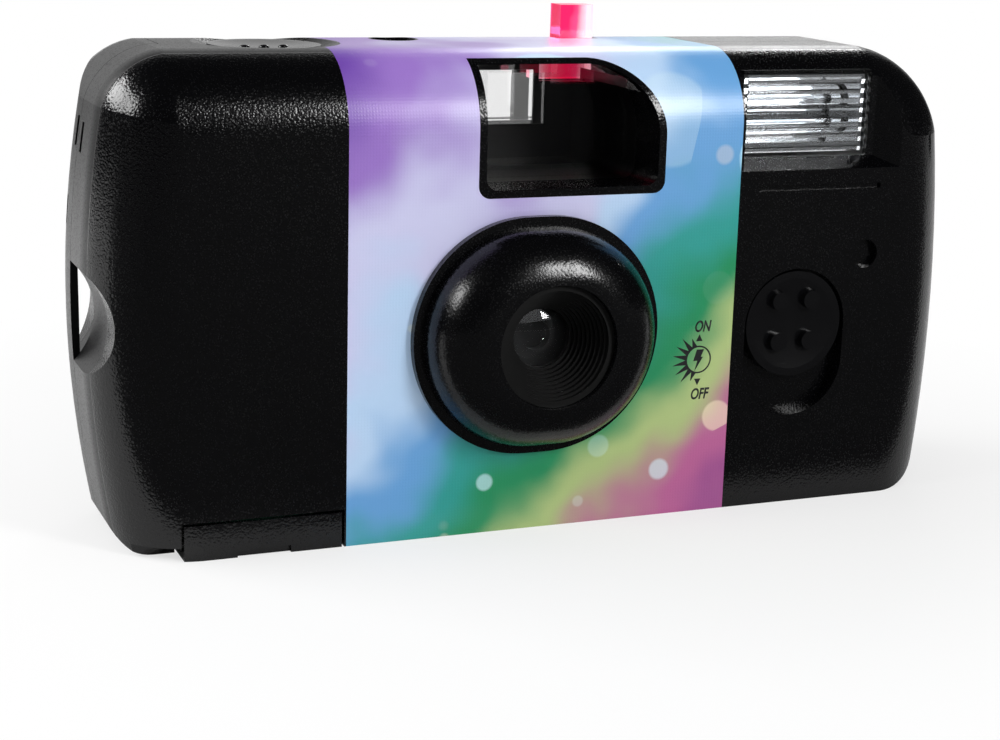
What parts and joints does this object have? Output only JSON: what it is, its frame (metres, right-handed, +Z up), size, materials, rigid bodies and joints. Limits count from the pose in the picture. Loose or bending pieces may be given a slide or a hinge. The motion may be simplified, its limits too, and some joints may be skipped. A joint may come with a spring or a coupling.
{
  "type": "disposable film camera",
  "caption": "Compact single-use 35 mm film camera with bowed black body, wrap-round label, oval lens ring, viewfinder, flash, sliding flash switch and thumb wheel.",
  "frame": {"origin": "on the surface the camera stands on, below the middle of its overall box", "axes": "+X to the viewer's right seen from the front, -Y out of the lens, +Z up"},
  "size_m": [0.1054, 0.034, 0.0579],
  "materials": {
    "black_shell": "fine spark texture, semi-gloss",
    "label_print": "satin printed film",
    "black_gloss": "moulded, semi-gloss",
    "black_matte": "matt, light-absorbing",
    "clear": "clear moulded acrylic",
    "spring_steel": "bright wire and sheet",
    "white_plastic": "satin",
    "pink_clear": "clear pink acrylic",
    "reflector_metal": "polished foil",
    "cartridge_paint": "printed sheet metal",
    "film_base": "coated film",
    "board": "resin board",
    "component_wrap": "sleeve",
    "transformer_tape": "tape",
    "cell_wrap": "plain printed sleeve",
    "neon_glass": "glass envelope"
  },
  "bodies": {
    "housing": {"front_cover": "black_shell", "rear_cover": "black_shell", "label_wrap": "label_print", "lens_ring": "black_gloss", "lens_hood": "black_matte", "taking_lens": "clear", "aperture_plate": "black_matte", "main_frame": "black_matte", "blade_spring": "spring_steel", "drive_spring": "spring_steel", "counter_window": "clear", "cartridge_shell": "cartridge_paint", "cartridge_top_cap": "black_matte", "cartridge_bottom_cap": "black_matte", "film_strip": "film_base", "door_hinge_pin": "spring_steel", "finder_front_lens": "clear", "finder_eyepiece": "clear", "flash_window": "clear", "flash_reflector": "reflector_metal", "flash_tube": "clear", "neon_lamp": "neon_glass", "circuit_board": "board", "flash_capacitor": "component_wrap", "trigger_transformer": "transformer_tape", "battery_cell": "cell_wrap", "contact_plus": "spring_steel", "contact_minus": "spring_steel"},
    "winder": {"thumb_wheel": "black_gloss", "cartridge_spool": "black_matte"},
    "sprocket": {"sprocket_wheel": "white_plastic"},
    "supply": {"supply_roll": "film_base"},
    "counter": {"counter_dial": "white_plastic"},
    "button": {"shutter_button": "black_gloss"},
    "release": {"release_lever": "spring_steel"},
    "drive": {"drive_lever": "spring_steel"},
    "blade": {"shutter_blade": "black_matte"},
    "flash_slide": {"flash_switch": "black_gloss", "switch_arm": "white_plastic", "light_pipe": "pink_clear"},
    "door": {"film_door": "black_shell"}
  },
  "joints": [
    {"name": "advance_wheel_turn", "type": "hinge", "parent": "housing", "child": "winder", "pos_m": [-0.03435, 0.0034, 0.0466], "axis": [0, 0, 1], "continuous": true},
    {"name": "sprocket_turn", "type": "hinge", "parent": "housing", "child": "sprocket", "pos_m": [-0.0162, 0.00725, 0.037], "axis": [0, 0, 1], "continuous": true},
    {"name": "supply_roll_turn", "type": "hinge", "parent": "housing", "child": "supply", "pos_m": [0.02515, 0.0046, 0.0228], "axis": [0, 0, 1], "continuous": true},
    {"name": "counter_dial_turn", "type": "hinge", "parent": "housing", "child": "counter", "pos_m": [-0.01865, 0.00655, 0.0493], "axis": [0, 0, 1], "continuous": true},
    {"name": "shutter_button_press", "type": "slide", "parent": "housing", "child": "button", "axis": [0, 0, -1], "range_m": [0, 0.0012], "stiffness_N_per_m": 900},
    {"name": "release_lever_tilt", "type": "hinge", "parent": "housing", "child": "release", "pos_m": [-0.03145, -0.0042, 0.0502], "axis": [-1, 0, 0], "range_deg": [0, 7.8]},
    {"name": "drive_lever_swing", "type": "hinge", "parent": "housing", "child": "drive", "pos_m": [0.00435, -0.0014, 0.0359], "axis": [0, 0, -1], "range_deg": [0, 25], "stiffness_Nm_per_rad": 0.004},
    {"name": "shutter_blade_swing", "type": "hinge", "parent": "housing", "child": "blade", "pos_m": [0.00285, -0.0081, 0.0303], "axis": [0, -1, 0], "range_deg": [0, 30.5]},
    {"name": "flash_switch_slide", "type": "slide", "parent": "housing", "child": "flash_slide", "axis": [0, 0, -1], "range_m": [0, 0.0044]},
    {"name": "film_door_swing", "type": "hinge", "parent": "housing", "child": "door", "pos_m": [-0.04665, 0.0043, 0.00095], "axis": [0, 1, 0], "range_deg": [0, 100]}
  ],
  "couplings": [
    {"joint": "sprocket_turn", "follows": "advance_wheel_turn", "ratio": 0.9921},
    {"joint": "supply_roll_turn", "follows": "advance_wheel_turn", "ratio": 0.6977},
    {"joint": "counter_dial_turn", "follows": "advance_wheel_turn", "ratio": -0.0248},
    {"joint": "release_lever_tilt", "follows": "shutter_button_press", "rad_per_m": 110.48},
    {"joint": "shutter_blade_swing", "follows": "drive_lever_swing", "ratio": 1.2}
  ]
}
